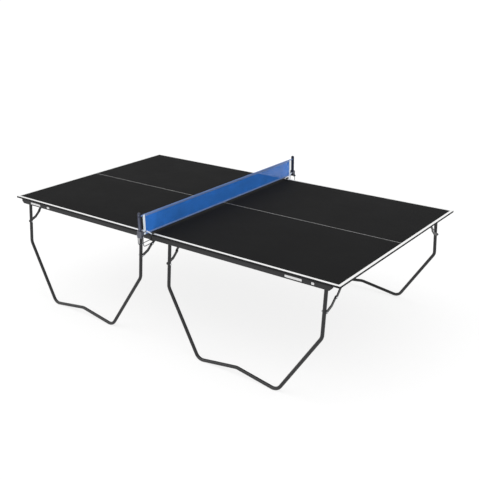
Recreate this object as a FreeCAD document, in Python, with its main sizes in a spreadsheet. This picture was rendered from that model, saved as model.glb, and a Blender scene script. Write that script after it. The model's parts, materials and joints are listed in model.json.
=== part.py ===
"""Folding table tennis table: two board halves, four bent-tube leg frames with folding stays,
and a net set held by two screw clamps.

Frame: origin on the floor under the middle of the net, X along the length, Y across the width
with the near side at -Y, Z up. Everything is in millimetres and degrees.

The table has two planes of symmetry, so each piece is drawn once, for the right half (+X) and
the near side (-Y), and mirrored for the other quarters.
"""
import FreeCAD, Part
import math
import os
import re

import Sketcher

SIZES = {
    # playing surface
    "table_length": 2740, "table_width": 1525, "table_height": 760,
    "board_thickness": 12, "band_thickness": 1, "seam_half_gap": 0.3,
    # wooden rails under the long edges
    "rail_setback": 5, "rail_width": 18, "rail_height": 33, "rail_start": 2.5, "rail_end": 1317,
    "rail_end_cut": 16,
    "rail_screw_radius": 2, "rail_screw_pitch": 420, "rail_screw_first": 60,
    # bent tube leg frames
    "tube_radius": 11.1, "tube_wall": 1.2, "loop_centre": 696, "leg_half_span": 570,
    "hinge_back": 724, "hinge_height": 716, "leg_splay": 5.75, "tube_top": 9.5,
    "knee_bend_radius": 60, "knee_bend_drop": 278.5,
    "foot_bend_radius": 60, "foot_half_span": 272,
    "middle_bend_radius": 80, "middle_clearance": 38.5,
    # leg hinges
    "sheet_metal": 2.5, "cheek_offset": 11.6, "cheek_radius": 12, "bracket_wing": 20,
    "pivot_radius": 3.95, "running_clearance": 0.05, "pivot_head": 5.3, "pivot_nut": 6.5,
    "pivot_hex": 7.5, "thread_tail": 2,
    # folding stays
    "stay_leg_drop": 142, "stay_upper_length": 146, "stay_upper_angle": 45.5,
    "stay_pin_back": 543, "stay_pin_height": 735, "stay_half_width": 9, "stay_thickness": 5,
    "stay_lower_offset": 11.5, "stay_upper_offset": 16.8, "stay_kink_along": 56,
    "stay_kink_drop": 9.5, "stay_pivot_radius": 2.95, "stay_head_radius": 5.5,
    "stay_head": 2.2, "stay_nut": 4.6, "stay_tab_offset": 22.1, "stay_tab_radius": 10,
    "stay_tab_foot": 24,
    # wood screws of the brackets
    "screw_radius": 1.75, "screw_depth": 8, "screw_head_radius": 4, "screw_head": 2,
    # net set
    "net_half_length": 812, "net_bottom": 770, "net_top": 903.5, "net_thickness": 1,
    "tape_thickness": 2.4, "top_tape_height": 16, "bottom_tape_height": 11, "end_tape_width": 18,
    "strap_height": 8, "strap_drop": 3,
    "post_back": 852, "post_width": 24, "post_depth": 8, "post_top": 923, "post_foot": 784,
    "post_knob_height": 896.5, "post_knob_radius": 4.5, "post_knob_length": 4,
    # spring clamps of the net set
    "bracket_half_width": 18, "bracket_metal": 2, "bracket_back": 862, "bracket_front": 842,
    "bracket_bottom": 758, "bracket_top": 804,
    "prong_offset": 15, "prong_radius": 3, "prong_start": 793, "prong_end": 764.3,
    "prong_reach": 750, "prong_crest_back": 814, "prong_crest_radius": 22,
    "prong_toe_back": 765, "prong_toe_radius": 15,
    "boot_half_width": 6, "boot_front": 746, "boot_back": 769, "boot_gap": 0.3,
    "boot_top": 770.5, "boot_skirt": 747, "boot_skirt_front": 763.5,
    "pin_height": 767, "pin_radius": 3, "pin_half_length": 27, "pin_cap_radius": 4.5,
    "pin_cap_length": 5, "spring_radius": 6.5, "spring_half_length": 10,
    "lever_offset": 22, "lever_wire": 2.5, "lever_eye_radius": 6, "lever_eye_half_width": 2.5,
    "lever_bend_back": 837, "lever_bend_radius": 15, "lever_bend_height": 719,
    "lever_sleeve_radius": 5, "rubber_gap": 0.4,
}

doc = FreeCAD.newDocument("TableTennisTable")
sheet = doc.addObject("Spreadsheet::Sheet", "Sizes")
for row, (alias, number) in enumerate(SIZES.items(), start=1):
    sheet.set(f"A{row}", alias)
    sheet.set(f"B{row}", str(number))
    sheet.setAlias(f"B{row}", alias)
doc.recompute()

ALONG_X = FreeCAD.Rotation(FreeCAD.Vector(0, 1, 0), 90)
ALONG_Y = FreeCAD.Rotation(FreeCAD.Vector(1, 0, 0), -90)
ALONG_Z = FreeCAD.Rotation()
nodes = []


# ---------------------------------------------------------------- formulas and primitives

def formula(text):
    """An expression in which every size name points at its cell in the sheet."""
    return re.sub(r"[a-z_]+", lambda word: f"Sizes.{word[0]}" if word[0] in SIZES else word[0],
                  str(text))


def number(text):
    """What a formula comes to with the sheet's present numbers."""
    return float(sheet.evalExpression(formula(text)))


def bind(piece, **formulas):
    """Bind properties to formulas; a double underscore stands for a dot in the property path."""
    for path, text in formulas.items():
        piece.setExpression(path.replace("__", "."), formula(text))
    return piece


def place(piece, x="0", y="0", z="0"):
    return bind(piece, Placement__Base__x=x, Placement__Base__y=y, Placement__Base__z=z)


def block(name, x, y, z):
    """A box between two formulas along each axis."""
    piece = doc.addObject("Part::Box", name)
    bind(piece, Length=f"({x[1]}) - ({x[0]})", Width=f"({y[1]}) - ({y[0]})",
         Height=f"({z[1]}) - ({z[0]})")
    return place(piece, x[0], y[0], z[0])


def rod(name, radius, length, at, turn=ALONG_Z):
    piece = doc.addObject("Part::Cylinder", name)
    piece.Placement.Rotation = turn
    bind(piece, Radius=radius, Height=length)
    return place(piece, *at)


def hexagon(name, radius, length, at, turn=ALONG_Z):
    piece = doc.addObject("Part::Prism", name)
    piece.Polygon = 6
    piece.Placement.Rotation = turn
    bind(piece, Circumradius=radius, Height=length)
    return place(piece, *at)


def domed(name, radius, length, at, turn=ALONG_Z):
    """A low domed head: a cone frustum whose far face is smaller."""
    piece = doc.addObject("Part::Cone", name)
    piece.Placement.Rotation = turn
    bind(piece, Radius1=radius, Radius2=f"({radius}) * 0.7", Height=length)
    return place(piece, *at)


def fused(name, *pieces):
    piece = doc.addObject("Part::MultiFuse", name)
    piece.Shapes = list(pieces)
    return piece


def cut(name, base, tool):
    piece = doc.addObject("Part::Cut", name)
    piece.Base = base
    piece.Tool = tool
    return piece


def group(name, *pieces):
    """Separate solids that share one node."""
    piece = doc.addObject("Part::Compound", name)
    piece.Links = list(pieces)
    return piece


def mirrored(name, source, normal, at_x="0"):
    piece = doc.addObject("Part::Mirroring", name)
    piece.Source = source
    piece.Normal = FreeCAD.Vector(*normal)
    return bind(piece, Base__x=at_x)


def node(label, piece):
    piece.Label = label
    nodes.append(piece)
    return piece


# ---------------------------------------------------------------- PartDesign helpers

def new_body(name):
    return doc.addObject("PartDesign::Body", name)


def new_sketch(body, name, plane):
    """A sketch on one of the body's origin planes, chosen by its role."""
    sketch = body.newObject("Sketcher::SketchObject", name)
    origin_plane = next(item for item in body.Origin.OriginFeatures if item.Role == plane)
    sketch.AttachmentSupport = [(origin_plane, "")]
    sketch.MapMode = "FlatFace"
    return sketch


def fix_point(sketch, curve, end, x, y):
    """Hold a point at two formulas, measured from the sketch's origin."""
    axes = (("DistanceX", x, -2), ("DistanceY", y, -1))
    for kind, text, axis in axes:
        value = number(text)
        if abs(value) < 1e-9:
            sketch.addConstraint(Sketcher.Constraint("PointOnObject", curve, end, axis))
            continue
        from_origin = (-1, 1, curve, end) if value > 0 else (curve, end, -1, 1)
        sketch.addConstraint(Sketcher.Constraint(kind, *from_origin, abs(value)))
        signed = text if value > 0 else f"-({text})"
        sketch.setExpression(f"Constraints[{sketch.ConstraintCount - 1}]", formula(signed))


def fix_size(sketch, kind, curve, text):
    sketch.addConstraint(Sketcher.Constraint(kind, curve, number(text)))
    sketch.setExpression(f"Constraints[{sketch.ConstraintCount - 1}]", formula(text))


def draw_outline(sketch, corners):
    """A closed polygon whose corners are pairs of formulas."""
    spots = [FreeCAD.Vector(number(x), number(y), 0) for x, y in corners]
    first = sketch.GeometryCount
    for here, there in zip(spots, spots[1:] + spots[:1]):
        sketch.addGeometry(Part.LineSegment(here, there), False)
    for index in range(len(spots)):
        following = first + (index + 1) % len(spots)
        sketch.addConstraint(Sketcher.Constraint("Coincident", first + index, 2, following, 1))
        fix_point(sketch, first + index, 1, *corners[index])


def draw_circle(sketch, x, y, radius):
    centre = FreeCAD.Vector(number(x), number(y), 0)
    curve = sketch.addGeometry(Part.Circle(centre, FreeCAD.Vector(0, 0, 1), number(radius)), False)
    fix_point(sketch, curve, 3, x, y)
    fix_size(sketch, "Radius", curve, radius)


def draw_slot(sketch, start, end, radius):
    """A stadium outline around the line between two points."""
    a = FreeCAD.Vector(number(start[0]), number(start[1]), 0)
    b = FreeCAD.Vector(number(end[0]), number(end[1]), 0)
    heading = math.atan2(b.y - a.y, b.x - a.x)
    up = FreeCAD.Vector(0, 0, 1)
    reach = number(radius)
    side = FreeCAD.Vector(-math.sin(heading), math.cos(heading), 0) * reach
    quarter = math.pi / 2
    arcs = [(a, heading + quarter), (b, heading - quarter)]
    for centre, angle in arcs:
        circle = Part.Circle(centre, up, reach)
        sketch.addGeometry(Part.ArcOfCircle(circle, angle, angle + 2 * quarter), False)
    sketch.addGeometry(Part.LineSegment(a - side, b - side), False)
    sketch.addGeometry(Part.LineSegment(b + side, a + side), False)
    for curve, end_a, line, end_b in ((0, 2, 2, 1), (1, 1, 2, 2), (1, 2, 3, 1), (0, 1, 3, 2)):
        sketch.addConstraint(Sketcher.Constraint("Tangent", curve, end_a, line, end_b))
    fix_point(sketch, 0, 3, *start)
    fix_point(sketch, 1, 3, *end)
    fix_size(sketch, "Radius", 0, radius)


def pad(body, sketch, length, midplane=False, backwards=False):
    feature = body.newObject("PartDesign::Pad", sketch.Name + "Pad")
    feature.Profile = sketch
    feature.Midplane = midplane
    feature.Reversed = backwards
    return bind(feature, Length=length)


def bore(body, sketch):
    """Cut the sketch's circles right through the body, both ways."""
    feature = body.newObject("PartDesign::Pocket", sketch.Name + "Bore")
    feature.Profile = sketch
    feature.Type = "ThroughAll"
    feature.Midplane = True
    return feature


def round_edges(body, name, radius, wanted):
    """Fillet the edges of the body's last feature that a test picks out."""
    doc.recompute()
    base = body.Tip
    picked = [f"Edge{index}" for index, edge in enumerate(base.Shape.Edges, start=1)
              if wanted(edge)]
    feature = body.newObject("PartDesign::Fillet", name)
    feature.Base = (base, picked)
    return bind(feature, Radius=radius)


def runs_along(edge, axis):
    """True where a straight edge lies along a coordinate axis (0, 1 or 2)."""
    ends = edge.BoundBox
    spans = (ends.XLength, ends.YLength, ends.ZLength)
    return sum(spans) - spans[axis] < 1e-6


# ---------------------------------------------------------------- bent tubes and wires

LEFT, RIGHT = 1, -1


def station(x, y, radius="0", turn=LEFT):
    """An end of a route, or the centre of one of its bends with the way it turns."""
    return {"x": x, "y": y, "radius": radius, "turn": turn}


def headings_between(stations):
    """The direction of each straight run, as a common tangent of the bends at its ends."""
    headings = []
    for here, there in zip(stations, stations[1:]):
        dx = number(there["x"]) - number(here["x"])
        dy = number(there["y"]) - number(here["y"])
        offset = here["turn"] * number(here["radius"]) - there["turn"] * number(there["radius"])
        headings.append(math.atan2(dy, dx) + math.asin(offset / math.hypot(dx, dy)))
    return headings


def draw_route(sketch, stations):
    """Straight runs joined by tangent arcs, from the first station to the last."""
    bends = stations[1:-1]
    headings = headings_between(stations)
    joints = [FreeCAD.Vector(number(stations[0]["x"]), number(stations[0]["y"]), 0)]
    arcs = []
    for item, before, after in zip(bends, headings, headings[1:]):
        centre = FreeCAD.Vector(number(item["x"]), number(item["y"]), 0)
        radius = number(item["radius"])
        turn = item["turn"]
        for heading in (before, after):
            spoke = FreeCAD.Vector(math.sin(heading), -math.cos(heading), 0)
            joints.append(centre + spoke * (radius * turn))
        angles = sorted((before - turn * math.pi / 2, after - turn * math.pi / 2))
        circle = Part.Circle(centre, FreeCAD.Vector(0, 0, 1), radius)
        arcs.append(Part.ArcOfCircle(circle, *angles))
    joints.append(FreeCAD.Vector(number(stations[-1]["x"]), number(stations[-1]["y"]), 0))
    for start, end in zip(joints[0::2], joints[1::2]):
        sketch.addGeometry(Part.LineSegment(start, end), False)
    for arc in arcs:
        sketch.addGeometry(arc, False)
    runs = len(arcs) + 1
    for index, item in enumerate(bends):
        entry, leaving = (1, 2) if item["turn"] == LEFT else (2, 1)
        arc = runs + index
        sketch.addConstraint(Sketcher.Constraint("Tangent", index, 2, arc, entry))
        sketch.addConstraint(Sketcher.Constraint("Tangent", arc, leaving, index + 1, 1))
        fix_point(sketch, arc, 3, item["x"], item["y"])
        fix_size(sketch, "Radius", arc, item["radius"])
    fix_point(sketch, 0, 1, stations[0]["x"], stations[0]["y"])
    fix_point(sketch, runs - 1, 2, stations[-1]["x"], stations[-1]["y"])


def sweep(body, name, section, route):
    doc.recompute()
    feature = body.newObject("PartDesign::AdditivePipe", name)
    feature.Profile = section
    feature.Spine = (route, [f"Edge{index + 1}" for index in range(route.GeometryCount)])
    doc.recompute()


# ---------------------------------------------------------------- boards, bands and rails

BOARD_BOTTOM = "table_height - board_thickness"
HALF_LENGTH = "table_length / 2"
HALF_WIDTH = "table_width / 2"
RAIL_OUTER = f"{HALF_WIDTH} - rail_setback"
RAIL_MIDDLE = f"{RAIL_OUTER} - rail_width / 2"
RAIL_BOTTOM = f"{BOARD_BOTTOM} - rail_height"
PLATE_BOTTOM = f"{BOARD_BOTTOM} - sheet_metal"
LEG_X = "loop_centre + leg_half_span"


def board_blank():
    body = new_body("BoardBlank")
    outline = new_sketch(body, "BoardOutline", "XY_Plane")
    west = "seam_half_gap + band_thickness"
    east = f"{HALF_LENGTH} - band_thickness"
    side = f"{HALF_WIDTH} - band_thickness"
    draw_outline(outline, [(west, f"-({side})"), (east, f"-({side})"), (east, side), (west, side)])
    pad(body, outline, "board_thickness")
    return place(body, z=BOARD_BOTTOM)


def edge_band():
    """A thin strip round all four edges of a board."""
    body = new_body("EdgeBand")
    outline = new_sketch(body, "BandOutline", "XY_Plane")
    for inset in ("0", "band_thickness"):
        west = f"seam_half_gap + {inset}"
        east = f"{HALF_LENGTH} - {inset}"
        side = f"{HALF_WIDTH} - {inset}"
        draw_outline(outline, [(west, f"-({side})"), (east, f"-({side})"), (east, side),
                               (west, side)])
    pad(body, outline, "board_thickness")
    place(body, z=BOARD_BOTTOM)
    corner_radius = number("band_thickness") * 0.8
    corner = (number(HALF_LENGTH), number(HALF_WIDTH))
    round_edges(body, "BandCorners", str(corner_radius),
                lambda edge: runs_along(edge, 2)
                and abs(edge.CenterOfMass.x - corner[0]) < 1e-3
                and abs(abs(edge.CenterOfMass.y) - corner[1]) < 1e-3)
    return body


def rail_blank():
    body = new_body("RailBlank")
    outline = new_sketch(body, "RailOutline", "XZ_Plane")
    draw_outline(outline, [("rail_start", "0"), ("rail_end - rail_end_cut", "0"),
                           ("rail_end", "rail_end_cut"), ("rail_end", "rail_height"),
                           ("rail_start", "rail_height")])
    pad(body, outline, "rail_width", midplane=True)
    round_edges(body, "RailEasing", "2",
                lambda edge: runs_along(edge, 0) and abs(edge.CenterOfMass.z) < 1e-3)
    return place(body, "0", f"-({RAIL_MIDDLE})", RAIL_BOTTOM)


def rail_screw_spots():
    """Centres of the screws that hold one rail to its board, from below."""
    return [(f"rail_screw_first + {index} * rail_screw_pitch", f"-({RAIL_MIDDLE})")
            for index in range(3)] + [("rail_end - 2 * rail_end_cut", f"-({RAIL_MIDDLE})")]


def bracket_screw_spots():
    """Centres of the screws of one quarter's hinge brackets and stay brackets."""
    outer = [(f"{LEG_X} + {side} * (cheek_offset + sheet_metal + bracket_wing / 2)",
              "-hinge_back") for side in (-1, 1)]
    outer += [(f"{LEG_X} + stay_tab_offset + stay_tab_foot / 2 + 2", f"-stay_pin_back + {shift}")
              for shift in (-5.5, 5.5)]
    inner = [(f"2 * loop_centre - ({x})", y) for x, y in outer]
    return outer + inner


def rail_screw(index, spot):
    """A long countersunk screw, its head flush with the rail's underside."""
    x, y = spot
    head = doc.addObject("Part::Cone", f"RailScrewHead{index}")
    bind(head, Radius1="screw_head_radius", Radius2="rail_screw_radius", Height="screw_head")
    place(head, x, y, RAIL_BOTTOM)
    shank = rod(f"RailScrewShank{index}", "rail_screw_radius", "rail_height + screw_depth",
                (x, y, RAIL_BOTTOM))
    return fused(f"RailScrew{index}", head, shank)


def bracket_screw(index, spot):
    """A short pan-head screw through a bracket's base plate into the board."""
    x, y = spot
    under = f"{PLATE_BOTTOM} - screw_head"
    head = doc.addObject("Part::Cone", f"PlateScrewHead{index}")
    bind(head, Radius1="screw_head_radius * 0.7", Radius2="screw_head_radius",
         Height="screw_head")
    place(head, x, y, under)
    shank = rod(f"PlateScrewShank{index}", "screw_radius",
                "screw_head + sheet_metal + screw_depth", (x, y, under))
    return fused(f"PlateScrew{index}", head, shank)


rail_screws = group("RailScrews", *[rail_screw(index, spot)
                                    for index, spot in enumerate(rail_screw_spots())])
plate_screws = group("PlateScrews", *[bracket_screw(index, spot)
                                      for index, spot in enumerate(bracket_screw_spots())])
near_screws = group("NearScrews", rail_screws, plate_screws)
far_screws = mirrored("FarScrews", near_screws, (0, 1, 0))
half_screws = group("HalfScrews", near_screws, far_screws)
right_board = cut("RightBoard", board_blank(), half_screws)
right_band = edge_band()
near_rail = cut("NearRail", rail_blank(), rail_screws)


# ---------------------------------------------------------------- leg frames

def loop_stations():
    """The tube's ends and the centres of its five bends in the frame's own plane, with the
    hinge line at y = 0."""
    floor = "(hinge_height - tube_radius) / cos(leg_splay)"
    knee_x = "leg_half_span - knee_bend_radius"
    foot_y = f"-({floor} - foot_bend_radius)"
    middle_y = f"-({floor} - middle_clearance / cos(leg_splay) + middle_bend_radius)"
    return [station("-leg_half_span", "tube_top"),
            station(f"-({knee_x})", "-knee_bend_drop", "knee_bend_radius", LEFT),
            station("-foot_half_span", foot_y, "foot_bend_radius", LEFT),
            station("0", middle_y, "middle_bend_radius", RIGHT),
            station("foot_half_span", foot_y, "foot_bend_radius", LEFT),
            station(knee_x, "-knee_bend_drop", "knee_bend_radius", LEFT),
            station("leg_half_span", "tube_top")]


def leg_frame():
    """One bent tube; its plane hangs from the hinge line and leans outwards."""
    body = new_body("LegFrame")
    route = new_sketch(body, "TubeRoute", "XZ_Plane")
    draw_route(route, loop_stations())
    section = new_sketch(body, "TubeSection", "XY_Plane")
    bind(section, AttachmentOffset__Base__z="tube_top")
    draw_circle(section, "-leg_half_span", "0", "tube_radius")
    draw_circle(section, "-leg_half_span", "0", "tube_radius - tube_wall")
    sweep(body, "Tube", section, route)
    holes = new_sketch(body, "PivotHoles", "YZ_Plane")
    draw_circle(holes, "0", "0", "pivot_radius + running_clearance")
    draw_circle(holes, "0", "-stay_leg_drop", "stay_pivot_radius + running_clearance")
    bore(body, holes)
    body.Placement.Rotation = FreeCAD.Rotation(FreeCAD.Vector(1, 0, 0), -number("leg_splay"))
    return place(body, "loop_centre", "-hinge_back", "hinge_height")


def hinge_bracket():
    """A pressed channel under the board; the leg's top end turns between its two cheeks."""
    body = new_body("HingeBracket")
    profile = new_sketch(body, "BracketProfile", "XZ_Plane")
    top = f"{BOARD_BOTTOM} - hinge_height"
    under = f"{top} - sheet_metal"
    inside = "cheek_offset"
    outside = f"{inside} + sheet_metal"
    wing = f"{outside} + bracket_wing"
    low = "-cheek_radius"
    draw_outline(profile, [
        (f"-({wing})", top), (f"-({wing})", under), (f"-({outside})", under),
        (f"-({outside})", low), (f"-({inside})", low), (f"-({inside})", under),
        (inside, under), (inside, low), (outside, low), (outside, under), (wing, under),
        (wing, top)])
    pad(body, profile, "2 * cheek_radius", midplane=True)
    round_edges(body, "CheekEnds", "cheek_radius - 0.5",
                lambda edge: runs_along(edge, 0)
                and abs(edge.CenterOfMass.z + number("cheek_radius")) < 1e-3)
    holes = new_sketch(body, "CheekHoles", "YZ_Plane")
    draw_circle(holes, "0", "0", "pivot_radius + running_clearance")
    bore(body, holes)
    place(body, LEG_X, "-hinge_back", "hinge_height")
    return cut("HingeBracketDrilled", body, plate_screws)


def bolt_across(name, radius, head_radius, head, nut, start, end, y, z):
    """A bolt along X: its head before `start`, a lock nut after `end` and a short tail."""
    shank_end = f"{end} + {nut} + thread_tail"
    shank = rod(name + "Shank", radius, f"({shank_end}) - ({start})", (start, y, z), ALONG_X)
    cap = hexagon(name + "Head", head_radius, head, (f"{start} - {head}", y, z), ALONG_X)
    blank = hexagon(name + "NutBlank", head_radius, nut, (end, y, z), ALONG_X)
    thread = rod(name + "NutThread", radius, nut, (end, y, z), ALONG_X)
    return group(name, fused(name + "Bolt", cap, shank), cut(name + "Nut", blank, thread))


def leg_pair(name, piece):
    """The piece at a frame's outer leg and its mirror image at the frame's inner leg."""
    twin = mirrored(name + "Twin", piece, (1, 0, 0), "loop_centre")
    return group(name, piece, twin)


def pivot_bolt():
    side = "(cheek_offset + sheet_metal)"
    return bolt_across("PivotBolt", "pivot_radius", "pivot_hex", "pivot_head", "pivot_nut",
                       f"{LEG_X} - {side}", f"{LEG_X} + {side}", "-hinge_back", "hinge_height")


# ---------------------------------------------------------------- folding stays

LEG_BOLT_Y = "-(hinge_back + stay_leg_drop * sin(leg_splay))"
LEG_BOLT_Z = "hinge_height - stay_leg_drop * cos(leg_splay)"
KNEE_Y = "-(stay_pin_back + stay_upper_length * cos(stay_upper_angle))"
KNEE_Z = "stay_pin_height - stay_upper_length * sin(stay_upper_angle)"
LOWER_RISE = f"(({KNEE_Z}) - ({LEG_BOLT_Z}))"
LOWER_RUN = f"(({KNEE_Y}) - ({LEG_BOLT_Y}))"
LOWER_LENGTH = f"sqrt({LOWER_RUN} ^ 2 + {LOWER_RISE} ^ 2)"


def tilt(piece, angle):
    piece.Placement.Rotation = FreeCAD.Rotation(FreeCAD.Vector(1, 0, 0), angle)


def link_plate(name, joints, boss_end=None):
    """A flat link along its own Y axis through the given pivots, with a pivot hole at each
    end. `boss_end` adds a low formed boss over the last pivot, on the side of the leg."""
    body = new_body(name)
    for index, (start, end) in enumerate(zip(joints, joints[1:])):
        strip = new_sketch(body, f"{name}Strip{index}", "YZ_Plane")
        draw_slot(strip, start, end, "stay_half_width")
        pad(body, strip, "stay_thickness")
    holes = new_sketch(body, name + "Holes", "YZ_Plane")
    draw_circle(holes, *joints[0], "stay_pivot_radius + running_clearance")
    if boss_end is None:
        draw_circle(holes, *joints[-1], "stay_pivot_radius")
    bore(body, holes)
    if boss_end is not None:
        boss = new_sketch(body, name + "Boss", "YZ_Plane")
        draw_circle(boss, *boss_end, "stay_head_radius")
        pad(body, boss, "stay_head", backwards=True)
    return body


def lower_link():
    knee = (LOWER_LENGTH, "0")
    body = link_plate("LowerLink", [("0", "0"), ("stay_kink_along", "-stay_kink_drop"), knee],
                      boss_end=knee)
    rise, run = number(LOWER_RISE), number(LOWER_RUN)
    tilt(body, math.degrees(math.atan2(rise, run)))
    return place(body, f"{LEG_X} + stay_lower_offset", LEG_BOLT_Y, LEG_BOLT_Z)


def upper_link():
    body = link_plate("UpperLink", [("0", "0"), ("-stay_upper_length", "0")])
    tilt(body, number("stay_upper_angle"))
    return place(body, f"{LEG_X} + stay_upper_offset", "-stay_pin_back", "stay_pin_height")


def stay_bolt():
    """The bolt through the leg on which the lower link turns."""
    gap = "(stay_upper_offset - stay_lower_offset - stay_thickness)"
    return bolt_across("StayBolt", "stay_pivot_radius", "stay_head_radius + 0.4", "stay_nut",
                       "stay_nut", f"{LEG_X} - tube_radius",
                       f"{LEG_X} + stay_lower_offset + stay_thickness + {gap}",
                       LEG_BOLT_Y, LEG_BOLT_Z)


def stay_rivet():
    """The knee rivet, set in the upper link with its head on the outer side."""
    face = f"{LEG_X} + stay_upper_offset"
    shank = rod("KneeShank", "stay_pivot_radius", "stay_thickness", (face, KNEE_Y, KNEE_Z),
                ALONG_X)
    head = domed("KneeHead", "stay_head_radius", "stay_head",
                 (f"{face} + stay_thickness", KNEE_Y, KNEE_Z), ALONG_X)
    return fused("KneeRivet", shank, head)


def stay_bracket():
    """An angle under the board whose hanging tab carries the stay's upper pin."""
    body = new_body("StayBracket")
    profile = new_sketch(body, "StayBracketProfile", "XZ_Plane")
    top = f"{BOARD_BOTTOM} - stay_pin_height"
    under = f"{top} - sheet_metal"
    draw_outline(profile, [("0", "-stay_tab_radius"), ("sheet_metal", "-stay_tab_radius"),
                           ("sheet_metal", under), ("stay_tab_foot", under),
                           ("stay_tab_foot", top), ("0", top)])
    pad(body, profile, "2 * stay_tab_radius", midplane=True)
    round_edges(body, "TabEnd", "stay_tab_radius - 0.5",
                lambda edge: runs_along(edge, 0)
                and abs(edge.CenterOfMass.z + number("stay_tab_radius")) < 1e-3)
    holes = new_sketch(body, "TabHole", "YZ_Plane")
    draw_circle(holes, "0", "0", "stay_pivot_radius + running_clearance")
    bore(body, holes)
    place(body, f"{LEG_X} + stay_tab_offset", "-stay_pin_back", "stay_pin_height")
    return cut("StayBracketDrilled", body, plate_screws)


def stay_pin():
    """The shouldered pin, riveted in the tab, on which the upper link turns."""
    gap = "(stay_tab_offset - stay_upper_offset - stay_thickness)"
    near_end = f"{LEG_X} + stay_upper_offset - {gap}"
    far_end = f"{LEG_X} + stay_tab_offset + sheet_metal"
    spot = ("-stay_pin_back", "stay_pin_height")
    shank = rod("PinShank", "stay_pivot_radius", f"({far_end}) - ({near_end})",
                (near_end, *spot), ALONG_X)
    head = rod("PinHead", "stay_head_radius", "stay_head", (f"{near_end} - stay_head", *spot),
               ALONG_X)
    tail = domed("PinTail", "stay_head_radius", "stay_head", (far_end, *spot), ALONG_X)
    return fused("StayPin", shank, head, tail)


# ---------------------------------------------------------------- net set

TAPE_OUTER = "net_half_length + end_tape_width / 2"
TAPE_INNER = "net_half_length - end_tape_width / 2"
MESH_BOTTOM = "net_bottom + bottom_tape_height"
MESH_TOP = "net_top - top_tape_height"
LEVER_BAR_HEIGHT = f"{RAIL_BOTTOM} - rubber_gap - lever_sleeve_radius"


def across(name, half_length, thickness, bottom, top):
    """A flat strip in the net's plane, the same either side of the middle."""
    return block(name, (f"-({thickness}) / 2", f"({thickness}) / 2"),
                 (f"-({half_length})", half_length), (bottom, top))


def net_strap():
    """The short strap that ties the end of the net to its post."""
    return block("NetStrap", ("-net_thickness / 2", "net_thickness / 2"),
                 ("-(post_back - post_depth / 2)", f"-({TAPE_OUTER})"),
                 ("net_top - strap_drop - strap_height", "net_top - strap_drop"))


def end_tape():
    tape = block("EndTape", ("-tape_thickness / 2", "tape_thickness / 2"),
                 (f"-({TAPE_OUTER})", f"-({TAPE_INNER})"), (MESH_BOTTOM, MESH_TOP))
    return fused("EndTapeWithStrap", tape, net_strap())


def net_post():
    """A slim upright with a rounded head and, on its outer face, a knob for the strap."""
    body = new_body("NetPost")
    plan = new_sketch(body, "PostPlan", "XY_Plane")
    draw_outline(plan, [("-post_width / 2", "-post_depth / 2"),
                        ("post_width / 2", "-post_depth / 2"),
                        ("post_width / 2", "post_depth / 2"),
                        ("-post_width / 2", "post_depth / 2")])
    pad(body, plan, "post_top - post_foot")
    head = number("post_top - post_foot")
    round_edges(body, "PostHead", "post_width / 2 - 2",
                lambda edge: runs_along(edge, 1) and abs(edge.CenterOfMass.z - head) < 1e-3)
    round_edges(body, "PostEasing", "1.5", lambda edge: runs_along(edge, 2))
    place(body, "0", "-post_back", "post_foot")
    knob = rod("PostKnob", "post_knob_radius", "post_knob_length + 2",
               ("0", "-(post_back + post_depth / 2 + post_knob_length)", "post_knob_height"),
               ALONG_Y)
    return fused("NetPostWhole", body, knob)


def clamp_prong():
    """A bent wire that reaches from the bracket over the board's edge."""
    body = new_body("ClampProng")
    route = new_sketch(body, "ProngRoute", "YZ_Plane")
    draw_route(route, [
        station("-bracket_back", "prong_start"),
        station("-prong_crest_back", "prong_start - prong_crest_radius", "prong_crest_radius",
                RIGHT),
        station("-prong_toe_back", "prong_end + prong_toe_radius", "prong_toe_radius", LEFT),
        station("-prong_reach", "prong_end")])
    section = new_sketch(body, "ProngSection", "XZ_Plane")
    bind(section, AttachmentOffset__Base__z="bracket_back")
    draw_circle(section, "0", "prong_start", "prong_radius")
    sweep(body, "ProngWire", section, route)
    return place(body, "prong_offset")


def both_ways(name, piece):
    """The piece at +X and its mirror image at -X."""
    return piece, mirrored(name + "Twin", piece, (1, 0, 0))


def clamp_frame(prongs):
    """A pressed channel behind the board's edge, with a shelf for the post and two prongs."""
    side = ("-bracket_back", "-bracket_front")
    tall = ("bracket_bottom", "bracket_top")
    inner = "bracket_half_width - bracket_metal"
    web = block("BracketWeb", ("-bracket_half_width", "bracket_half_width"),
                ("-bracket_back", "-(bracket_back - bracket_metal)"), tall)
    cheek = block("BracketCheek", (inner, "bracket_half_width"), side, tall)
    shelf = block("BracketShelf", (f"-({inner})", inner), side,
                  ("post_foot - bracket_metal", "post_foot"))
    whole = fused("BracketWhole", web, *both_ways("BracketCheek", cheek), shelf, *prongs)
    hole = rod("PinHole", "pin_radius + running_clearance", "2 * bracket_half_width + 2",
               ("-bracket_half_width - 1", "-post_back", "pin_height"), ALONG_X)
    return cut("ClampFrame", whole, hole)


def jaw_boots(prongs):
    """Soft caps on the prongs' tips, each with a skirt that hangs in front of the edge."""
    under = "table_height + boot_gap"
    sides_x = ("prong_offset - boot_half_width", "prong_offset + boot_half_width")
    cap = block("BootCap", sides_x, ("-boot_back", "-boot_front"), (under, "boot_top"))
    skirt = block("BootSkirt", sides_x, ("-boot_back", "-boot_skirt_front"),
                  ("boot_skirt", "boot_top"))
    solid = fused("BootSolid", cap, skirt)
    return cut("JawBoots", group("BootPair", *both_ways("Boot", solid)),
               group("ProngPair", *prongs))


def clamp_pin():
    """The lever's pivot, with a round cap on each end."""
    spot = ("-post_back", "pin_height")
    pin = rod("PinRod", "pin_radius", "2 * pin_half_length", ("-pin_half_length", *spot), ALONG_X)
    cap = rod("PinCap", "pin_cap_radius", "pin_cap_length", ("pin_half_length", *spot), ALONG_X)
    return fused("ClampPin", pin, *both_ways("PinCap", cap))


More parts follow.
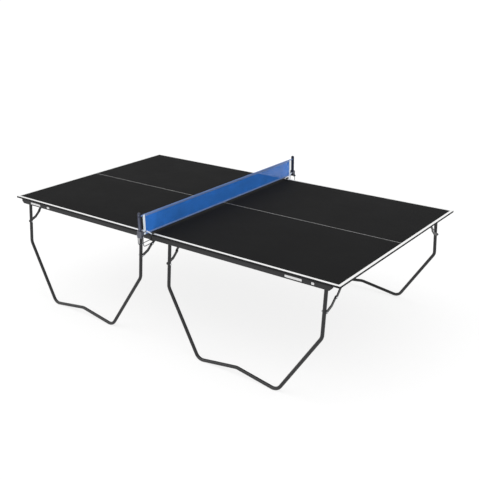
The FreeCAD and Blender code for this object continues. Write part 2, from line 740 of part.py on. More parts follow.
def clamp_spring():
    """The outer shape of the torsion spring's coil, on the pin."""
    spot = ("-spring_half_length", "-post_back", "pin_height")
    coil = rod("CoilOutside", "spring_radius", "2 * spring_half_length", spot, ALONG_X)
    bore_rod = rod("CoilInside", "pin_radius + 0.3", "2 * spring_half_length", spot, ALONG_X)
    return cut("ClampSpring", coil, bore_rod)


def lever_strand():
    """One side of the lever: an eye on the pin and a wire bent in under the rail."""
    body = new_body("LeverStrand")
    route = new_sketch(body, "StrandRoute", "YZ_Plane")
    draw_route(route, [
        station("-post_back", "pin_height - lever_eye_radius + 1"),
        station("-lever_bend_back", "lever_bend_height", "lever_bend_radius", LEFT),
        station(f"-({RAIL_MIDDLE})", LEVER_BAR_HEIGHT)])
    section = new_sketch(body, "StrandSection", "XY_Plane")
    bind(section, AttachmentOffset__Base__z="pin_height - lever_eye_radius + 1")
    draw_circle(section, "0", "-post_back", "lever_wire")
    sweep(body, "StrandWire", section, route)
    place(body, "lever_offset")
    eye = rod("LeverEye", "lever_eye_radius", "2 * lever_eye_half_width",
              ("lever_offset - lever_eye_half_width", "-post_back", "pin_height"), ALONG_X)
    return fused("LeverSide", body, eye)


def clamp_lever():
    """The U-shaped spring lever whose cross bar presses up under the rails."""
    bar = rod("LeverBar", "lever_wire", "2 * lever_offset",
              ("-lever_offset", f"-({RAIL_MIDDLE})", LEVER_BAR_HEIGHT), ALONG_X)
    whole = fused("LeverWhole", *both_ways("LeverSide", lever_strand()), bar)
    hole = rod("LeverHole", "pin_radius + running_clearance", "4 * lever_offset",
               ("-2 * lever_offset", "-post_back", "pin_height"), ALONG_X)
    return cut("ClampLever", whole, hole)


def lever_sleeve():
    """The rubber tube on the lever's cross bar."""
    half = "(lever_offset - lever_wire - rubber_gap)"
    spot = (f"-{half}", f"-({RAIL_MIDDLE})", LEVER_BAR_HEIGHT)
    outside = rod("SleeveOutside", "lever_sleeve_radius", f"2 * {half}", spot, ALONG_X)
    inside = rod("SleeveInside", "lever_wire", f"2 * {half}", spot, ALONG_X)
    return cut("LeverSleeve", outside, inside)


# ---------------------------------------------------------------- the whole table

def quarters(label, piece):
    """The near piece of the right half and its mirror images in the other three quarters."""
    node(f"right_near_{label}", piece)
    far = mirrored(piece.Name + "RightFar", piece, (0, 1, 0))
    node(f"right_far_{label}", far)
    for side, source in (("near", piece), ("far", far)):
        node(f"left_{side}_{label}", mirrored(f"{source.Name}Left", source, (1, 0, 0)))


def halves(label, piece):
    node(f"right_{label}", piece)
    node(f"left_{label}", mirrored(piece.Name + "Left", piece, (1, 0, 0)))


def sides(label, piece):
    node(f"near_{label}", piece)
    node(f"far_{label}", mirrored(piece.Name + "Far", piece, (0, 1, 0)))


def both_sides(label, piece):
    """The near piece and its far mirror image, as one node."""
    far = mirrored(piece.Name + "Far", piece, (0, 1, 0))
    node(label, group(piece.Name + "Both", piece, far))


halves("board", right_board)
halves("edge_band", right_band)
halves("wood_screws", half_screws)
quarters("rail", near_rail)
quarters("leg_frame", leg_frame())
quarters("hinge_brackets", leg_pair("HingeBrackets", hinge_bracket()))
quarters("pivot_bolts", leg_pair("PivotBolts", pivot_bolt()))
quarters("stay_lower_links", leg_pair("LowerLinks", lower_link()))
quarters("stay_upper_links", leg_pair("UpperLinks", upper_link()))
quarters("stay_leg_bolts", leg_pair("StayBolts", stay_bolt()))
quarters("stay_knee_rivets", leg_pair("KneeRivets", stay_rivet()))
quarters("stay_brackets", leg_pair("StayBrackets", stay_bracket()))
quarters("stay_pins", leg_pair("StayPins", stay_pin()))
node("net_fabric", across("NetFabric", TAPE_INNER, "net_thickness", MESH_BOTTOM, MESH_TOP))
node("net_long_tapes", group("LongTapes",
                             across("TopTape", TAPE_OUTER, "tape_thickness", MESH_TOP, "net_top"),
                             across("BottomTape", TAPE_OUTER, "tape_thickness", "net_bottom",
                                    MESH_BOTTOM)))
both_sides("net_end_tapes", end_tape())
sides("net_post", net_post())
clamp_prongs = both_ways("ClampProng", clamp_prong())
sides("clamp_frame", clamp_frame(clamp_prongs))
both_sides("clamp_jaw_boots", jaw_boots(clamp_prongs))
both_sides("clamp_pivot_pins", clamp_pin())
both_sides("clamp_springs", clamp_spring())
sides("clamp_lever", clamp_lever())
sides("lever_sleeve", lever_sleeve())

doc.recompute()
faulty = [item.Label for item in doc.Objects
          if "Invalid" in item.State or "Error" in item.State]
faulty += [piece.Label for piece in nodes if piece.Shape.isNull() or not piece.Shape.isValid()]
if faulty:
    raise RuntimeError(f"objects that failed: {faulty}")

os.makedirs("parts", exist_ok=True)
for piece in nodes:
    piece.Shape.exportStep(os.path.join("parts", piece.Label + ".step"))
    print(f"{piece.Label}: {len(piece.Shape.Solids)} solids, {piece.Shape.Volume / 1000:.1f} cm3")
print(len(nodes), "nodes")
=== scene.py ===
import json
import math
import random

import bpy
from mathutils import Matrix, Vector

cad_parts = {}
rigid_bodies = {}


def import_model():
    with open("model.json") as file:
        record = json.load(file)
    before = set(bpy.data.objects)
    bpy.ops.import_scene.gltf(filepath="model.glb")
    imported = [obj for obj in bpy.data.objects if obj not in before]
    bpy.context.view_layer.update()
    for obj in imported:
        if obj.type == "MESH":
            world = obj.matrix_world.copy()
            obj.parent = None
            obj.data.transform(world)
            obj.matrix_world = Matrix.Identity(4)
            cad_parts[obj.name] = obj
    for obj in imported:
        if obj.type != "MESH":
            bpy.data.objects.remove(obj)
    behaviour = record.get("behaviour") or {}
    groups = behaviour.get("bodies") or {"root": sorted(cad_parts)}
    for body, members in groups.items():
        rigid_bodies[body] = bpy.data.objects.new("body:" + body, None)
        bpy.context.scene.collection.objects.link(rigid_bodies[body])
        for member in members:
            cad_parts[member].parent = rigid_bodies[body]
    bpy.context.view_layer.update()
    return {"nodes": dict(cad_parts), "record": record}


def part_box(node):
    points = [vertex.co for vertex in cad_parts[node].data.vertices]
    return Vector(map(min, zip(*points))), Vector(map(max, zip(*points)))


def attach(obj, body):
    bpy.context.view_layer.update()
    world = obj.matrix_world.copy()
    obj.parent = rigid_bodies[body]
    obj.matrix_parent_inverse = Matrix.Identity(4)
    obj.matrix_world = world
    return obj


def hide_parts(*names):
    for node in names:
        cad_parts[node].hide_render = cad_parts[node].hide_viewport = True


for leftover in list(bpy.data.objects):
    bpy.data.objects.remove(leftover)

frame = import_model()
nodes = frame["nodes"]
chance = random.Random(7)

# Everything is in metres; the net's middle is above the origin.
TABLE_HEIGHT = 0.760
HALF_LENGTH = 1.370
HALF_WIDTH = 0.7625
SEAM = 0.0003
LINE_WIDTH = 0.018
CENTRE_LINE_WIDTH = 0.003
PAINT_THICKNESS = 0.00025
RAIL_FACE = -0.7575
POST_FACE = 0.856
PIN_BACK, PIN_HEIGHT = 0.852, 0.767
NET_PITCH = 0.005
STRAP_MIDDLE, STRAP_HALF_HEIGHT = 0.8965, 0.004
FIRST_HALF, LAST_HALF = "left_half", "right_half"


# ---------------------------------------------------------------- materials

def shader(name, colour, roughness, **sockets):
    """A material with a principled shader and the sockets that are the same all over."""
    made = bpy.data.materials.new(name)
    made.use_nodes = True
    surface = made.node_tree.nodes["Principled BSDF"]
    surface.inputs["Base Color"].default_value = (*colour, 1)
    surface.inputs["Roughness"].default_value = roughness
    for socket, value in sockets.items():
        surface.inputs[socket.replace("_", " ")].default_value = value
    return made


def add(material, kind, **settings):
    """A new shader node; a setting that is a socket's name sets that socket."""
    made = material.node_tree.nodes.new(kind)
    for key, value in settings.items():
        socket = made.inputs.get(key.replace("_", " "))
        if socket is None:
            setattr(made, key, value)
        elif isinstance(value, bpy.types.NodeSocket):
            material.node_tree.links.new(value, socket)
        else:
            socket.default_value = value
    return made


def link(material, source, target):
    material.node_tree.links.new(source, target)


def principled(material):
    return material.node_tree.nodes["Principled BSDF"]


def stretched_noise(material, scale, stretch=(1, 1, 1), detail=3, roughness=0.55):
    """Noise in the object's own space, drawn out along an axis by a small stretch."""
    place = add(material, "ShaderNodeTexCoord")
    fit = add(material, "ShaderNodeMapping", Vector=place.outputs["Object"], Scale=stretch)
    noise = add(material, "ShaderNodeTexNoise", Vector=fit.outputs["Vector"], Scale=scale,
                Detail=detail, Roughness=roughness)
    return noise.outputs["Fac"]


def ramp(material, source, stops):
    made = add(material, "ShaderNodeValToRGB", Fac=source)
    elements = made.color_ramp.elements
    while len(elements) < len(stops):
        elements.new(0.5)
    for element, (position, colour) in zip(elements, stops):
        element.position = position
        element.color = (*colour, 1)
    return made.outputs["Color"]


def remapped(material, source, low, high, start=0.3, end=0.7):
    made = add(material, "ShaderNodeMapRange", Value=source)
    for socket, value in (("From Min", start), ("From Max", end), ("To Min", low), ("To Max", high)):
        made.inputs[socket].default_value = value
    return made.outputs["Result"]


def bumped(material, height, strength, distance):
    surface = principled(material)
    previous = surface.inputs["Normal"].links
    made = add(material, "ShaderNodeBump", Height=height, Strength=strength, Distance=distance)
    if previous:
        link(material, previous[0].from_socket, made.inputs["Normal"])
    link(material, made.outputs["Normal"], surface.inputs["Normal"])


def mixed(material, factor, first, second):
    made = add(material, "ShaderNodeMix", data_type="RGBA")
    for index, value in ((0, factor), (6, first), (7, second)):
        if isinstance(value, bpy.types.NodeSocket):
            link(material, value, made.inputs[index])
        else:
            made.inputs[index].default_value = value if index == 0 else (*value, 1)
    return made.outputs[2]


def shade(colour, factor):
    return tuple(min(1.0, part * factor) for part in colour)


def plain_finish(name, colour, roughness, grain, bump, spread=0.12, stretch=(1, 1, 1),
                 gloss_spread=0.06, **sockets):
    """A painted, moulded or plated surface: slight colour and gloss variation and a fine bump.
    grain is the size of the finest texture, in metres."""
    made = shader(name, colour, roughness, **sockets)
    surface = principled(made)
    broad = stretched_noise(made, 9, stretch, detail=5)
    fine = stretched_noise(made, 1 / grain, stretch, detail=2)
    link(made, ramp(made, broad, [(0.3, shade(colour, 1 - spread)), (0.7, shade(colour, 1 + spread))]),
         surface.inputs["Base Color"])
    link(made, remapped(made, broad, roughness - gloss_spread, roughness + gloss_spread),
         surface.inputs["Roughness"])
    bumped(made, fine, bump, grain * 0.15)
    return made


def facing_down(material):
    """1 on faces that look down, 0 elsewhere."""
    normal = add(material, "ShaderNodeTexCoord").outputs["Normal"]
    split = add(material, "ShaderNodeSeparateXYZ", Vector=normal)
    return remapped(material, split.outputs["Z"], 1, 0, -0.9, -0.5)


def board_finish():
    """Matt charcoal roller paint above; below, pressed wood under one thin dark coat."""
    top = (0.0095, 0.0095, 0.0097)
    made = shader("board_finish", top, 0.72, Specular_IOR_Level=0.03)
    surface = principled(made)
    broad = stretched_noise(made, 2.2, detail=6, roughness=0.6)
    painted = ramp(made, broad, [(0.3, shade(top, 0.93)), (0.7, shade(top, 1.07))])
    chips = add(made, "ShaderNodeTexVoronoi", Scale=210,
                Vector=add(made, "ShaderNodeTexCoord").outputs["Object"])
    dark_chip, middle_chip, pale_chip = ((0.016, 0.013, 0.010), (0.034, 0.027, 0.020),
                                         (0.062, 0.048, 0.034))
    wood = ramp(made, chips.outputs["Color"],
                [(0.1, dark_chip), (0.55, middle_chip), (0.95, pale_chip)])
    below = facing_down(made)
    link(made, mixed(made, below, painted, wood), surface.inputs["Base Color"])
    link(made, remapped(made, broad, 0.66, 0.80), surface.inputs["Roughness"])
    stipple = stretched_noise(made, 520, detail=3, roughness=0.7)
    bumped(made, stipple, 0.35, 0.0003)
    return made


def line_finish(name, white):
    """Matt screen-printed lines, a little thin where the roller texture shows through."""
    made = shader(name, white, 0.6, Specular_IOR_Level=0.2)
    fine = stretched_noise(made, 520, detail=3, roughness=0.7)
    wear = stretched_noise(made, 35, detail=6, roughness=0.7)
    tint = ramp(made, wear, [(0.25, shade(white, 0.90)), (0.5, white)])
    link(made, tint, principled(made).inputs["Base Color"])
    bumped(made, fine, 0.3, 0.0003)
    return made


def rail_finish():
    """Satin dark grey paint over pine: the grain runs along the rail."""
    grey = (0.029, 0.029, 0.030)
    made = shader("rail_finish", grey, 0.6, Specular_IOR_Level=0.2)
    surface = principled(made)
    grain = stretched_noise(made, 60, (0.06, 1, 1), detail=6, roughness=0.65)
    link(made, ramp(made, grain, [(0.3, shade(grey, 0.78)), (0.7, shade(grey, 1.18))]),
         surface.inputs["Base Color"])
    link(made, remapped(made, grain, 0.52, 0.68), surface.inputs["Roughness"])
    bumped(made, grain, 0.25, 0.0006)
    return made


def tube_finish():
    """Black powder coat: fine orange peel, and scuffs where the tube meets the floor."""
    black, scuff = (0.013, 0.013, 0.014), (0.12, 0.115, 0.11)
    made = shader("tube_finish", black, 0.34, Specular_IOR_Level=0.38)
    surface = principled(made)
    height = add(made, "ShaderNodeSeparateXYZ",
                 Vector=add(made, "ShaderNodeTexCoord").outputs["Object"]).outputs["Z"]
    low = remapped(made, height, 1, 0, 0.004, 0.03)
    scratches = stretched_noise(made, 160, (1, 1, 3), detail=6, roughness=0.7)
    scuffed = add(made, "ShaderNodeMath", operation="MULTIPLY")
    link(made, low, scuffed.inputs[0])
    link(made, remapped(made, scratches, 0, 0.8, 0.5, 0.62), scuffed.inputs[1])
    peel = stretched_noise(made, 750, detail=2)
    broad = stretched_noise(made, 14, detail=4)
    paint = ramp(made, broad, [(0.3, shade(black, 0.85)), (0.7, shade(black, 1.2))])
    link(made, mixed(made, scuffed.outputs[0], paint, scuff), surface.inputs["Base Color"])
    link(made, remapped(made, broad, 0.28, 0.42), surface.inputs["Roughness"])
    bumped(made, peel, 0.35, 0.0002)
    return made


def woven_finish(name, colour, thread, roughness=0.85, spread=0.08):
    """A plain weave in the net's plane; thread is the width of one thread in metres. Its colour is
    painted shade in the hollows between threads and a painted highlight on their crowns.
    """
    made = shader(name, colour, roughness, Sheen_Weight=0.25, Sheen_Roughness=0.5,
                  Specular_IOR_Level=0.2)
    surface = principled(made)
    place = add(made, "ShaderNodeTexCoord").outputs["Object"]
    waves = []
    for axis in ("Y", "Z"):
        waves.append(add(made, "ShaderNodeTexWave", wave_type="BANDS", bands_direction=axis,
                         Vector=place, Scale=0.314 / (2 * thread), Distortion=0.6,
                         Detail=1.0).outputs["Fac"])
    weave = add(made, "ShaderNodeMath", operation="MULTIPLY")
    link(made, waves[0], weave.inputs[0])
    link(made, waves[1], weave.inputs[1])
    wear = stretched_noise(made, 40, detail=5)
    # Painted shade and highlight: the colour darkens where the weave's bump is low and lightens where
    # it is high.
    weave_shade_and_highlight = mixed(made, remapped(made, weave.outputs[0], 0, 1, 0, 1), shade(colour, 1 - 1.6 * spread),
                 shade(colour, 1 + spread))
    link(made, mixed(made, remapped(made, wear, 0, 0.5), weave_shade_and_highlight, shade(colour, 0.88)),
         surface.inputs["Base Color"])
    bumped(made, weave.outputs[0], 0.6, thread * 0.4)
    return made


BLUE = (0.034, 0.205, 0.68)
TAPE_BLUE = (0.15, 0.255, 0.54)
finishes = {
    "board_paint": board_finish(),
    "band_black": plain_finish("band_finish", (0.010, 0.010, 0.011), 0.65, 0.0009, 0.2,
                               Specular_IOR_Level=0.12),
    "rail_paint": rail_finish(),
    "tube_black": tube_finish(),
    "bracket_black": plain_finish("bracket_finish", (0.018, 0.018, 0.019), 0.42, 0.0012, 0.3),
    "zinc": plain_finish("zinc_finish", (0.60, 0.61, 0.63), 0.36, 0.002, 0.15, Metallic=1.0),
    "spring_steel": plain_finish("spring_steel_finish", (0.075, 0.078, 0.09), 0.36, 0.0015, 0.2,
                                 Metallic=0.85),
    "net_mesh": plain_finish("net_cord_finish", BLUE, 0.7, 0.0006, 0.5, spread=0.14,
                             Specular_IOR_Level=0.12),
    "net_tape": woven_finish("net_tape_finish", TAPE_BLUE, 0.0006),
    "end_tape": woven_finish("end_tape_finish", (0.86, 0.93, 1.0), 0.0006),
    "post_plastic": plain_finish("post_finish", (0.012, 0.018, 0.042), 0.33, 0.0012, 0.15),
    "clamp_metal": plain_finish("clamp_finish", (0.085, 0.09, 0.115), 0.36, 0.0014, 0.2,
                                Metallic=0.25),
    "boot_rubber": plain_finish("rubber_finish", (0.014, 0.014, 0.014), 0.75, 0.0008, 0.5),
}
thread_finish = plain_finish("thread_finish", (0.62, 0.68, 0.80), 0.7, 0.0006, 0.4,
                             Sheen_Weight=0.2)
# Painted highlight: the rib's pale blue-grey stands in for the light line that runs down the dark navy
# post.
rib_painted_highlight_finish = plain_finish("rib_painted_highlight_finish", (0.12, 0.14, 0.22), 0.4, 0.001, 0.2)
sleeve_finish = plain_finish("sleeve_finish", (0.74, 0.82, 0.95), 0.42, 0.0012, 0.2, spread=0.05)
label_finish = plain_finish("label_finish", (0.62, 0.62, 0.62), 0.38, 0.0015, 0.12, spread=0.05)

for subpart in frame["record"]["subparts"]:
    node = nodes[subpart["node"]]
    node.data.materials.clear()
    node.data.materials.append(finishes[subpart["material_slot"]])


# ---------------------------------------------------------------- mesh helpers

def piece(name, vertices, faces, body, material, smooth=True):
    """A mesh object that rides on a body and takes a procedural material."""
    mesh = bpy.data.meshes.new(name)
    mesh.from_pydata([tuple(v) for v in vertices], [], faces)
    mesh.update()
    mesh.polygons.foreach_set("use_smooth", [smooth] * len(mesh.polygons))
    mesh.materials.append(material)
    made = bpy.data.objects.new(name, mesh)
    bpy.context.scene.collection.objects.link(made)
    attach(made, body)
    return made


class Shape:
    """Vertices and faces that several strands, rings or bars add themselves to."""

    def __init__(self):
        self.vertices, self.faces = [], []

    def rings(self, rings):
        """A skin over rings with the same number of points, capped at both ends."""
        first, sides = len(self.vertices), len(rings[0])
        for ring in rings:
            self.vertices.extend(ring)
        last = first + (len(rings) - 1) * sides
        for here in range(first, last, sides):
            there = here + sides
            for side in range(sides):
                after = (side + 1) % sides
                self.faces.append((here + side, here + after, there + after, there + side))
        self.faces.append(tuple(first + side for side in reversed(range(sides))))
        self.faces.append(tuple(last + side for side in range(sides)))

    def tube(self, points, radius, sides=8):
        """A round wire along a line of points."""
        points = [Vector(point) for point in points]
        side = None
        rings = []
        for index, point in enumerate(points):
            before, after = points[max(index - 1, 0)], points[min(index + 1, len(points) - 1)]
            ahead = (after - before).normalized()
            if side is None:
                side = ahead.orthogonal().normalized()
            side = (side - ahead * side.dot(ahead)).normalized()
            other = ahead.cross(side)
            rings.append([point + radius * (math.cos(a) * side + math.sin(a) * other)
                          for a in (2 * math.pi * k / sides for k in range(sides))])
        self.rings(rings)

    def piece(self, name, body, material, slot=None, smooth=True):
        return piece(name, self.vertices, self.faces, body, material, smooth)


def rounded_slab(outline, low, high, edge):
    """Rings of a flat plate with eased edges: outline is its plan, counter-clockwise."""
    count = len(outline)
    inset = []
    for index, point in enumerate(outline):
        before, after = outline[index - 1], outline[(index + 1) % count]
        a = Vector((point[0] - before[0], point[1] - before[1])).normalized()
        b = Vector((after[0] - point[0], after[1] - point[1])).normalized()
        normals = Vector((-a.y, a.x)), Vector((-b.y, b.x))
        bisector = (normals[0] + normals[1]).normalized()
        length = edge / max(0.2, bisector.dot(normals[0]))
        inset.append((point[0] + bisector.x * length, point[1] + bisector.y * length))
    return [[(x, y, low) for x, y in outline], [(x, y, high - edge) for x, y in outline],
            [(x, y, high) for x, y in inset]]


# ---------------------------------------------------------------- painted lines

def painted_lines(side, body):
    """The white border round three edges of one half, and its half of the centre line."""
    low, high = TABLE_HEIGHT, TABLE_HEIGHT + PAINT_THICKNESS
    edge = PAINT_THICKNESS / 2
    rim = 0.0004
    outer_x, outer_y = HALF_LENGTH - rim, HALF_WIDTH - rim
    inner_x, inner_y = HALF_LENGTH - LINE_WIDTH, HALF_WIDTH - LINE_WIDTH
    start = SEAM + 0.0002
    border = [(start, -outer_y), (outer_x, -outer_y), (outer_x, outer_y), (start, outer_y),
              (start, inner_y), (inner_x, inner_y), (inner_x, -inner_y), (start, -inner_y)]
    half = CENTRE_LINE_WIDTH / 2
    middle = [(start, -half), (inner_x - edge, -half), (inner_x - edge, half), (start, half)]
    for label, outline, finish in (("border_line", border, border_finish),
                                   ("centre_line", middle, centre_finish)):
        placed = [(side * x, y) for x, y in outline]
        if side < 0:
            placed.reverse()
        shape = Shape()
        shape.rings(rounded_slab(placed, low, high, edge))
        shape.piece(f"{body}_{label}", body, finish, "board_paint", smooth=False)


border_finish = line_finish("border_line_finish", (0.72, 0.72, 0.715))
centre_finish = line_finish("centre_line_finish", (0.36, 0.36, 0.36))
painted_lines(-1, FIRST_HALF)
painted_lines(1, LAST_HALF)


# ---------------------------------------------------------------- the net

def net_cords(low, high):
    """The knotless mesh: flat cords both ways, each over one and under the next."""
    half_width, half_thick, sway, most_drift = 0.00187, 0.00045, 0.00022, 0.0002
    across = round((high.y - low.y) / NET_PITCH)
    up = round((high.z - low.z) / NET_PITCH)
    ys = [low.y + (high.y - low.y) * k / across for k in range(across + 1)]
    zs = [low.z + (high.z - low.z) * k / up for k in range(up + 1)]
    shape = Shape()
    for column, y in enumerate(ys):
        rings = []
        drift = chance.uniform(-most_drift, most_drift)
        for row, z in enumerate(zs):
            x = sway * (-1) ** (row + column)
            rings.append([(x - half_thick, y + drift, z), (x, y + drift + half_width, z),
                          (x + half_thick, y + drift, z), (x, y + drift - half_width, z)])
        shape.rings(rings)
    for row, z in enumerate(zs):
        rings = []
        for column, y in enumerate(ys):
            x = -sway * (-1) ** (row + column)
            rings.append([(x - half_thick, y, z), (x, y, z - half_width),
                          (x + half_thick, y, z), (x, y, z + half_width)])
        shape.rings(rings)
    return shape.piece("net_mesh_cords", FIRST_HALF, finishes["net_mesh"], "net_mesh")


def folded_tape(name, line_start, line_end, fold, hem, half_thick, material, slot):
    """A tape folded over the net's edge: thick and round at the fold, thin at its two hems.
    The line runs along the fold; fold and hem are the tape's two edges across it."""
    steps, cloth, shoulder, pinch = 160, 0.0004, 0.55, 0.25
    sway, turns_per_step, most_drift = 0.00012, 1.7, 0.00008
    start, end = Vector(line_start), Vector(line_end)
    across = Vector(hem) - Vector(fold)
    width = across.length
    across = across.normalized()
    turn = [math.radians(angle) for angle in range(0, 181, 30)]
    section = []
    for radius, order in ((half_thick, turn), (half_thick - cloth, turn[::-1])):
        sign = 1 if order is turn else -1
        hem_x = radius - pinch * half_thick
        section.append((sign * hem_x, width))
        section.append((sign * radius, shoulder * width))
        section.extend((radius * math.cos(a), half_thick - radius * math.sin(a)) for a in order)
        section.append((-sign * radius, shoulder * width))
        section.append((-sign * hem_x, width))
    rings = []
    for step in range(steps + 1):
        base = start.lerp(end, step / steps)
        wobble = sway * math.sin(step * turns_per_step) + chance.uniform(-most_drift, most_drift)
        rings.append([base + Vector((x, 0, 0)) + across * (along + wobble)
                      for x, along in section])
    shape = Shape()
    shape.rings(rings)
    return shape.piece(name, FIRST_HALF, material, slot)


def stitches(name, start, end, lift, pitch=0.0038):
    """A row of lock stitches on both faces of a tape. Each dips in at its ends and is highest in
    the middle; lift is how far it lies from the tape's middle."""
    enters, leaves, dipped, crown, thread_radius = 0.18, 0.86, 0.75, 1.12, 0.00022
    start, end = Vector(start), Vector(end)
    count = round((end - start).length / pitch)
    ahead = (end - start).normalized()
    shape = Shape()
    for side in (-1, 1):
        for index in range(count):
            a = start + ahead * (pitch * (index + enters))
            b = start + ahead * (pitch * (index + leaves))
            out = Vector((side * lift, 0, 0))
            middle = (a + b) / 2 + out * crown
            shape.tube([a + out * dipped, a.lerp(b, 0.2) + out, middle, b.lerp(a, 0.2) + out,
                        b + out * dipped], thread_radius, sides=4)
    return shape.piece(name, FIRST_HALF, thread_finish)


net_low, net_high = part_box("net_fabric")
tape_low, tape_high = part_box("net_long_tapes")
tape_half = (tape_high.x - tape_low.x) / 2
cords = net_cords(net_low, net_high)
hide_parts("net_fabric")

top_tape = folded_tape("net_top_tape", (0, tape_low.y, tape_high.z), (0, tape_high.y, tape_high.z),
                       (0, 0, tape_high.z), (0, 0, net_high.z), tape_half,
                       finishes["net_tape"], "net_tape")
bottom_tape = folded_tape("net_bottom_tape", (0, tape_low.y, tape_low.z), (0, tape_high.y, tape_low.z),
                          (0, 0, tape_low.z), (0, 0, net_low.z), tape_half,
                          finishes["net_tape"], "net_tape")
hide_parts("net_long_tapes")
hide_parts("net_long_tapes")
inset = 0.0022
hems = [
    stitches("top_tape_stitches", (0, tape_low.y + inset, net_high.z + inset),
             (0, tape_high.y - inset, net_high.z + inset), tape_half * 0.80),
    stitches("bottom_tape_stitches", (0, tape_low.y + inset, net_low.z - inset),
             (0, tape_high.y - inset, net_low.z - inset), tape_half * 0.80)]

for label, sign in (("near", -1), ("far", 1)):
    fold_y = sign * tape_high.y
    hem_y = sign * net_high.y
    tape = folded_tape(f"{label}_end_tape", (0, fold_y, tape_low.z - 0.0002),
                       (0, fold_y, tape_high.z - 0.004), (0, fold_y, 0), (0, hem_y, 0),
                       tape_half * 1.25, finishes["end_tape"], "end_tape")
    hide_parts("net_end_tapes")
    hems.append(stitches(f"{label}_end_tape_stitches",
                         (0, hem_y + sign * inset, tape_low.z + inset),
                         (0, hem_y + sign * inset, tape_high.z - 0.006), tape_half * 1.02))


def strap(label, sign):
    """The short doubled strap from the end tape to the inner face of the post."""
    post_low, post_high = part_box(f"{label}_net_post")
    inner_face = min(abs(post_low.y), abs(post_high.y))
    steps, overlap, half_cloth, bulge, waist = 8, 0.004, 0.0004, 0.0010, 0.15
    sewn_end = tape_high.y - overlap
    low_z, high_z = STRAP_MIDDLE - STRAP_HALF_HEIGHT, STRAP_MIDDLE + STRAP_HALF_HEIGHT
    shape = Shape()
    for flip in (-1, 1):
        rings = []
        for step in range(steps + 1):
            arch = math.sin(math.pi * step / steps)
            y = sign * (sewn_end + step / steps * (inner_face - sewn_end))
            x = flip * (half_cloth + bulge * arch)
            draw_in = STRAP_HALF_HEIGHT * waist * arch
            rings.append([(x - half_cloth, y, low_z + draw_in), (x + half_cloth, y, low_z + draw_in),
                          (x + half_cloth, y, high_z - draw_in), (x - half_cloth, y, high_z - draw_in)])
        shape.rings(rings)
    return shape.piece(f"{label}_net_strap", FIRST_HALF, finishes["net_tape"], "net_tape", smooth=False)


straps = [strap("near", -1), strap("far", 1)]


# ---------------------------------------------------------------- posts, springs and labels

def post_rib_painted_highlight(label, sign):
    """The raised rib down the middle of the post's outer face; its pale colour is a painted highlight
    along the post.
    """
    low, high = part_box(f"{label}_net_post")
    face = sign * POST_FACE
    half_width, proud, narrowing = 0.0022, 0.0012, 0.6
    foot, head, taper = low.z + 0.022, high.z - 0.010, 0.002
    rings = []
    for z, share in ((foot, narrowing), (foot + taper, 1), (head - taper, 1), (head, narrowing)):
        half = half_width * share
        rings.append([(-half, face, z), (half, face, z),
                      (half * narrowing, face + sign * proud, z),
                      (-half * narrowing, face + sign * proud, z)])
    shape = Shape()
    shape.rings(rings)
    return shape.piece(f"{label}_post_rib_painted_highlight", FIRST_HALF, rib_painted_highlight_finish, "post_plastic", smooth=False)


def coil_spring(shape, sign):
    """The clamp's torsion spring: a coil on the pin, one arm up the bracket, one on the lever."""
    wire, radius = 0.00105, 0.00545
    turns, steps, half_length = 8, 20, 0.0088
    lower_arm, upper_arm = 0.012, 0.013
    outer_side = sign * PIN_BACK + sign * radius
    points = [(-half_length, outer_side, PIN_HEIGHT - lower_arm)]
    for index in range(turns * steps + 1):
        angle = 2 * math.pi * index / steps
        points.append((-half_length + 2 * half_length * index / (turns * steps),
                       sign * PIN_BACK + sign * radius * math.cos(angle),
                       PIN_HEIGHT + radius * math.sin(angle)))
    points.append((half_length, outer_side, PIN_HEIGHT + upper_arm))
    shape.tube(points, wire, sides=8)


springs = Shape()
for label, sign in (("near", -1), ("far", 1)):
    post_rib_painted_highlight(label, sign)
    coil_spring(springs, sign)
coil = springs.piece("clamp_spring_coils", FIRST_HALF, finishes["spring_steel"], "spring_steel")
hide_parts("clamp_springs")


def prong_sleeves():
    """Pale vinyl tubes on the bent part of each clamp prong, between its crest and its tip."""
    prong_x, sleeve_radius, steps = 0.015, 0.0037, 8
    crest_y, crest_z, crest_radius = 0.814, 0.771, 0.022
    toe_y, toe_z, toe_radius = 0.765, 0.7793, 0.015
    steepest = math.radians(38.5)
    angles = [steepest * step / steps for step in range(steps + 1)]
    line = [(crest_y - crest_radius * math.sin(a), crest_z + crest_radius * math.cos(a))
            for a in angles]
    line += [(toe_y + toe_radius * math.sin(a), toe_z - toe_radius * math.cos(a))
             for a in angles[:1:-1]]
    shape = Shape()
    for sign in (-1, 1):
        for x in (-prong_x, prong_x):
            shape.tube([(x, sign * y, z) for y, z in line], sleeve_radius, sides=12)
    return shape.piece("clamp_prong_sleeves", FIRST_HALF, sleeve_finish)


prong_sleeves()


def rail_label(name, body, low_x, high_x):
    """A blank self-adhesive strip on the outer face of a near rail."""
    low_z, high_z, corner, thick = 0.724, 0.738, 0.003, 0.0002
    left, right = low_x + corner, high_x - corner
    lower, upper = low_z + corner, high_z - corner
    outline = []
    for x, z, start in ((right, upper, 0), (left, upper, 90), (left, lower, 180), (right, lower, 270)):
        for step in range(0, 91, 15):
            angle = math.radians(start + step)
            outline.append((x + corner * math.cos(angle), z + corner * math.sin(angle)))
    shape = Shape()
    shape.rings([[(x, y, z) for x, z in outline] for y in (RAIL_FACE, RAIL_FACE - thick)])
    return shape.piece(name, body, label_finish, smooth=False)


for label, body, low_x, high_x in (("right_rail_label", LAST_HALF, 1.017, 1.129),
                                   ("left_rail_label", FIRST_HALF, -1.215, -1.110),
                                   ("right_rail_mark", LAST_HALF, 1.190, 1.208),
                                   ("left_rail_mark", FIRST_HALF, -1.035, -1.008)):
    rail_label(label, body, low_x, high_x)


# ---------------------------------------------------------------- eased edges on hard pieces

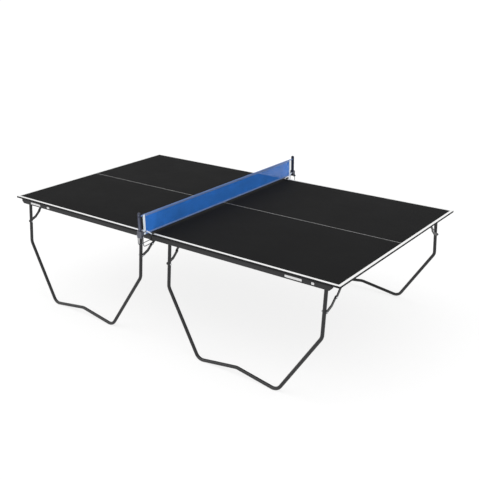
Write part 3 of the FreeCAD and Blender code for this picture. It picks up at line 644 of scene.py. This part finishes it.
def eased(node_name, width):
    """Joins the skin's split edges and rounds its corners so that they catch the light."""
    solid = nodes[node_name]
    weld = solid.modifiers.new("weld", "WELD")
    weld.merge_threshold = 0.00001
    bevel = solid.modifiers.new("bevel", "BEVEL")
    bevel.width = width
    bevel.segments = 2
    bevel.limit_method = "ANGLE"
    bevel.angle_limit = math.radians(50)
    bevel.harden_normals = True


for node_name in nodes:
    if node_name.endswith(("hinge_brackets", "stay_brackets", "_links", "clamp_frame")):
        eased(node_name, 0.0004)
    elif node_name.endswith(("_rail", "net_post", "jaw_boots")):
        eased(node_name, 0.0006)


# ---------------------------------------------------------------- studio

def studio():
    """A pale floor that glows with light of its own, so the table's shadow on it stays faint; an even
    white sky and two soft lamps, the stronger from the left.
    """
    bpy.ops.mesh.primitive_plane_add(size=160)
    floor = bpy.context.object
    floor.name = "studio_floor"
    # The floor's emission is painted light: it fills in the table's shadow on the floor.
    floor.data.materials.append(plain_finish("glowing_floor_finish", (0.20, 0.20, 0.20), 0.9, 0.02, 0.02,
                                             spread=0.01, Specular_IOR_Level=0.0,
                                             Emission_Color=(1, 1, 1, 1), Emission_Strength=0.80))
    world = bpy.data.worlds.new("studio_air")
    world.use_nodes = True
    world.node_tree.nodes["Background"].inputs["Color"].default_value = (1.0, 1.0, 1.0, 1)
    world.node_tree.nodes["Background"].inputs["Strength"].default_value = 1.0
    scene = bpy.context.scene
    scene.world = world
    scene.view_settings.view_transform = "Standard"
    for name, turn, power, spread in (("key_light", (48, 0, -50), 0.75, 50),
                                      ("high_light", (8, 0, 20), 0.45, 70)):
        data = bpy.data.lights.new(name, "SUN")
        data.energy = power
        data.angle = math.radians(spread)
        lamp = bpy.data.objects.new(name, data)
        lamp.rotation_euler = [math.radians(angle) for angle in turn]
        scene.collection.objects.link(lamp)


def camera():
    """The main view: from the near right, over the table's corner."""
    spot = Vector((3.047, -3.777, 2.339))
    azimuth, down, roll = math.radians(37.75), math.radians(21.0), math.radians(-0.79)
    ahead = Vector((-math.sin(azimuth) * math.cos(down), math.cos(azimuth) * math.cos(down),
                    -math.sin(down)))
    level = Vector((math.cos(azimuth), math.sin(azimuth), 0))
    upright = level.cross(ahead)
    right = level * math.cos(roll) + upright * math.sin(roll)
    up = upright * math.cos(roll) - level * math.sin(roll)
    data = bpy.data.cameras.new("camera")
    data.sensor_width = 36
    data.lens = 53.86
    made = bpy.data.objects.new("camera", data)
    turn = Matrix((right, up, -ahead)).transposed().to_4x4()
    made.matrix_world = Matrix.Translation(spot) @ turn
    bpy.context.scene.collection.objects.link(made)
    bpy.context.scene.camera = made


studio()
camera()
